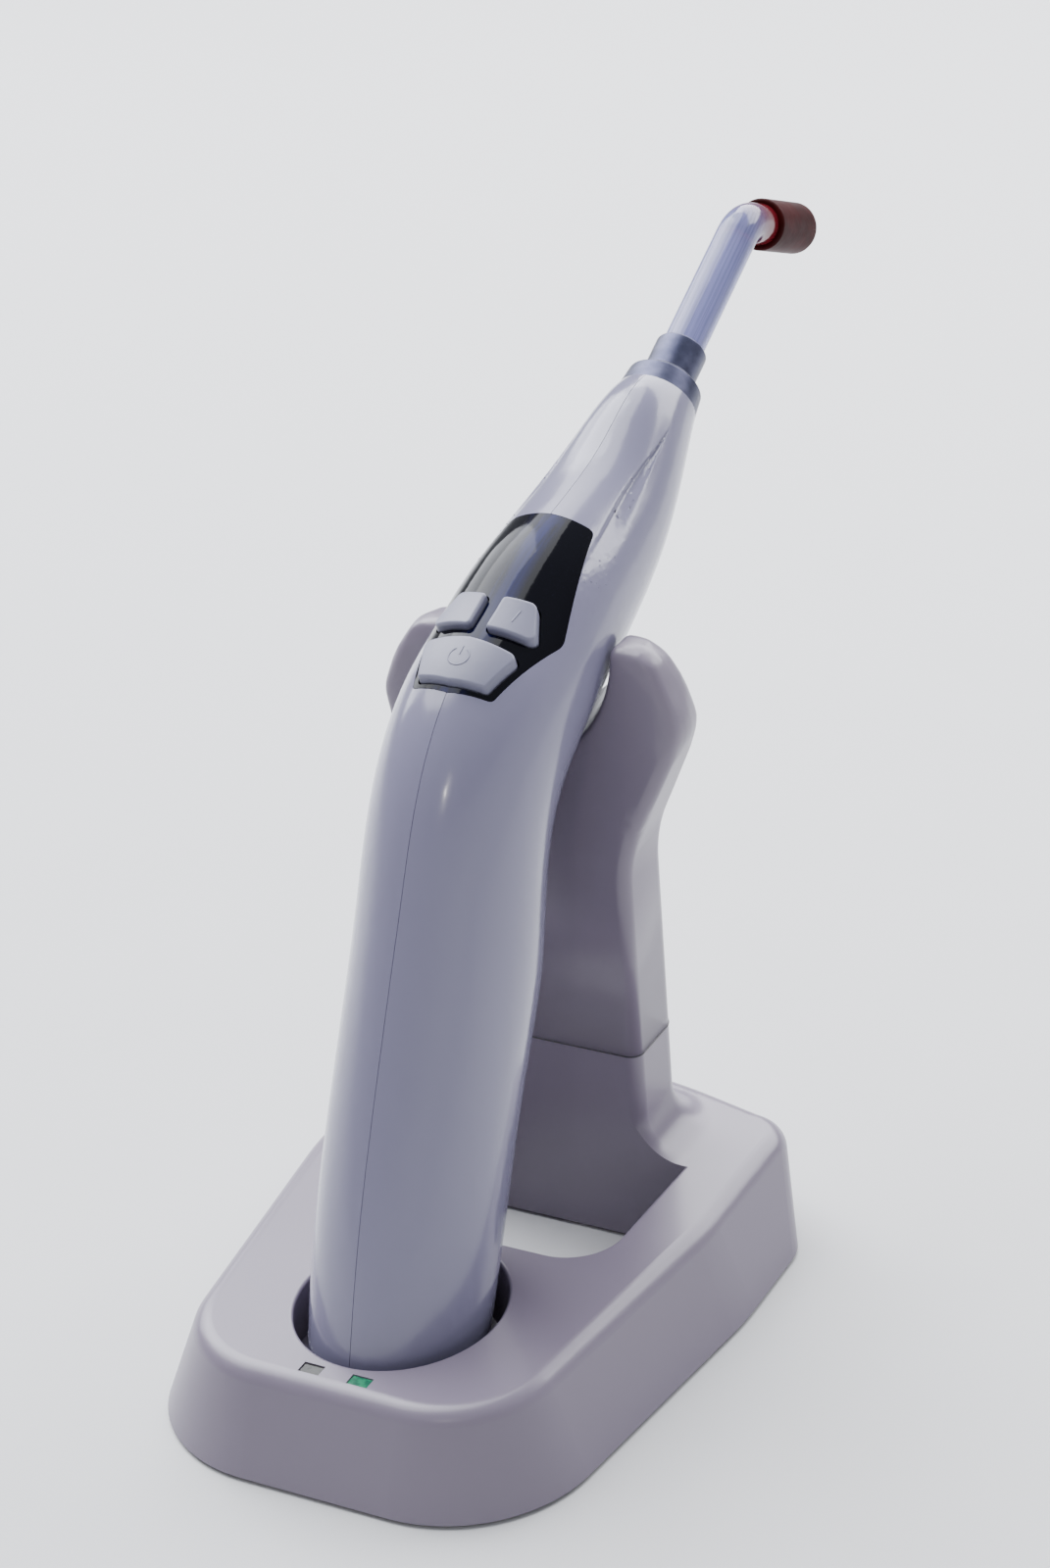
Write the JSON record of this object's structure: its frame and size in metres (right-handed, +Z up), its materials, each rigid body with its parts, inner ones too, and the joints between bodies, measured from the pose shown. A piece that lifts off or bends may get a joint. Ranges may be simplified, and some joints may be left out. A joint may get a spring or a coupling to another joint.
{
  "type": "dental curing light",
  "caption": "Cordless dental curing light: angled handpiece with a bent clear light guide and tip cap, held by a forked yoke in its charging stand.",
  "frame": {"origin": "middle of the footprint's box, on the table", "axes": "+Z up; +Y from the front of the stand to the light guide's tip; +X to the right seen from the front"},
  "size_m": [0.0958, 0.2204, 0.1673],
  "materials": {
    "stand_white": "glossy moulded ABS",
    "handpiece_white": "glossy moulded ABS",
    "window_black": "glossy smoked acrylic",
    "button_grey": "satin moulded plastic",
    "aluminium": "turned, satin",
    "steel": "zinc plated",
    "gold": "gold plated",
    "spring_steel": "plain",
    "rubber": "soft matt",
    "board": "solder resist",
    "parts_black": "moulded nylon",
    "cell": "shrink wrap over a metal can",
    "lens_clear": "clear lens over a dark lamp",
    "lens_green": "green lens",
    "guide_glass": "fused fibre rod, polished",
    "tip_red": "translucent moulded plastic",
    "reflector": "mirror bright",
    "seal": "soft matt"
  },
  "bodies": {
    "stand": {"base_shell": "stand_white", "base_plate": "stand_white", "rubber_feet": "rubber", "base_screws": "steel", "ballast_plate": "steel", "charging_board": "board", "power_inlet": "parts_black", "indicator_lens_clear": "lens_clear", "indicator_lens_green": "lens_green", "indicator_chips": "parts_black", "contact_board": "board", "contact_spring_left": "spring_steel", "contact_spring_right": "spring_steel", "yoke_shell": "stand_white", "yoke_cover": "stand_white", "cover_screws": "steel", "yoke_screws": "steel"},
    "contact_pin_left": {"contact_pin_left": "gold"},
    "contact_pin_right": {"contact_pin_right": "gold"},
    "handpiece": {"shell_left": "handpiece_white", "shell_right": "handpiece_white", "shell_screws": "steel", "end_cap": "handpiece_white", "charge_pads": "gold", "display_window": "window_black", "display_board": "board", "display_module": "parts_black", "tact_switches": "parts_black", "battery_cell": "cell", "battery_frame": "parts_black", "main_board": "board", "heat_sink": "aluminium", "led_board": "aluminium", "led_emitter": "lens_clear", "reflector": "reflector", "nose_ring": "aluminium"},
    "power_button": {"power_button": "button_grey"},
    "time_button": {"time_button": "button_grey"},
    "mode_button": {"mode_button": "button_grey"},
    "guide_seal": {"guide_seal": "seal"},
    "light_guide": {"light_guide": "guide_glass", "guide_collar": "aluminium"},
    "tip_cap": {"tip_cap": "tip_red"}
  },
  "joints": [
    {"name": "handpiece_lift", "type": "slide", "parent": "stand", "child": "handpiece", "axis": [0, 0.309, 0.9511], "range_m": [0, 0.06]},
    {"name": "contact_press_left", "type": "slide", "parent": "stand", "child": "contact_pin_left", "axis": [0, 0, -1], "range_m": [0, 0.0009], "stiffness_N_per_m": 300, "springref_m": -0.0006, "deforming": ["contact_spring_left"]},
    {"name": "contact_press_right", "type": "slide", "parent": "stand", "child": "contact_pin_right", "axis": [0, 0, -1], "range_m": [0, 0.0009], "stiffness_N_per_m": 300, "springref_m": -0.0006, "deforming": ["contact_spring_right"]},
    {"name": "power_press", "type": "slide", "parent": "handpiece", "child": "power_button", "axis": [0, 0.373, -0.9278], "range_m": [0, 0.0006], "stiffness_N_per_m": 1500, "springref_m": -0.0004},
    {"name": "time_press", "type": "slide", "parent": "handpiece", "child": "time_button", "axis": [0, 0.373, -0.9278], "range_m": [0, 0.0006], "stiffness_N_per_m": 1500, "springref_m": -0.0004},
    {"name": "mode_press", "type": "slide", "parent": "handpiece", "child": "mode_button", "axis": [0, 0.373, -0.9278], "range_m": [0, 0.0006], "stiffness_N_per_m": 1500, "springref_m": -0.0004},
    {"name": "guide_pull", "type": "slide", "parent": "handpiece", "child": "guide_seal", "axis": [0, 0.891, 0.454], "range_m": [0, 0.016]},
    {"name": "guide_turn", "type": "hinge", "parent": "guide_seal", "child": "light_guide", "pos_m": [0, 0.04385, 0.14326], "axis": [0, 0.891, 0.454], "continuous": true},
    {"name": "tip_cap_pull", "type": "slide", "parent": "light_guide", "child": "tip_cap", "axis": [0, 0.9272, -0.3746], "range_m": [0, 0.018]}
  ]
}
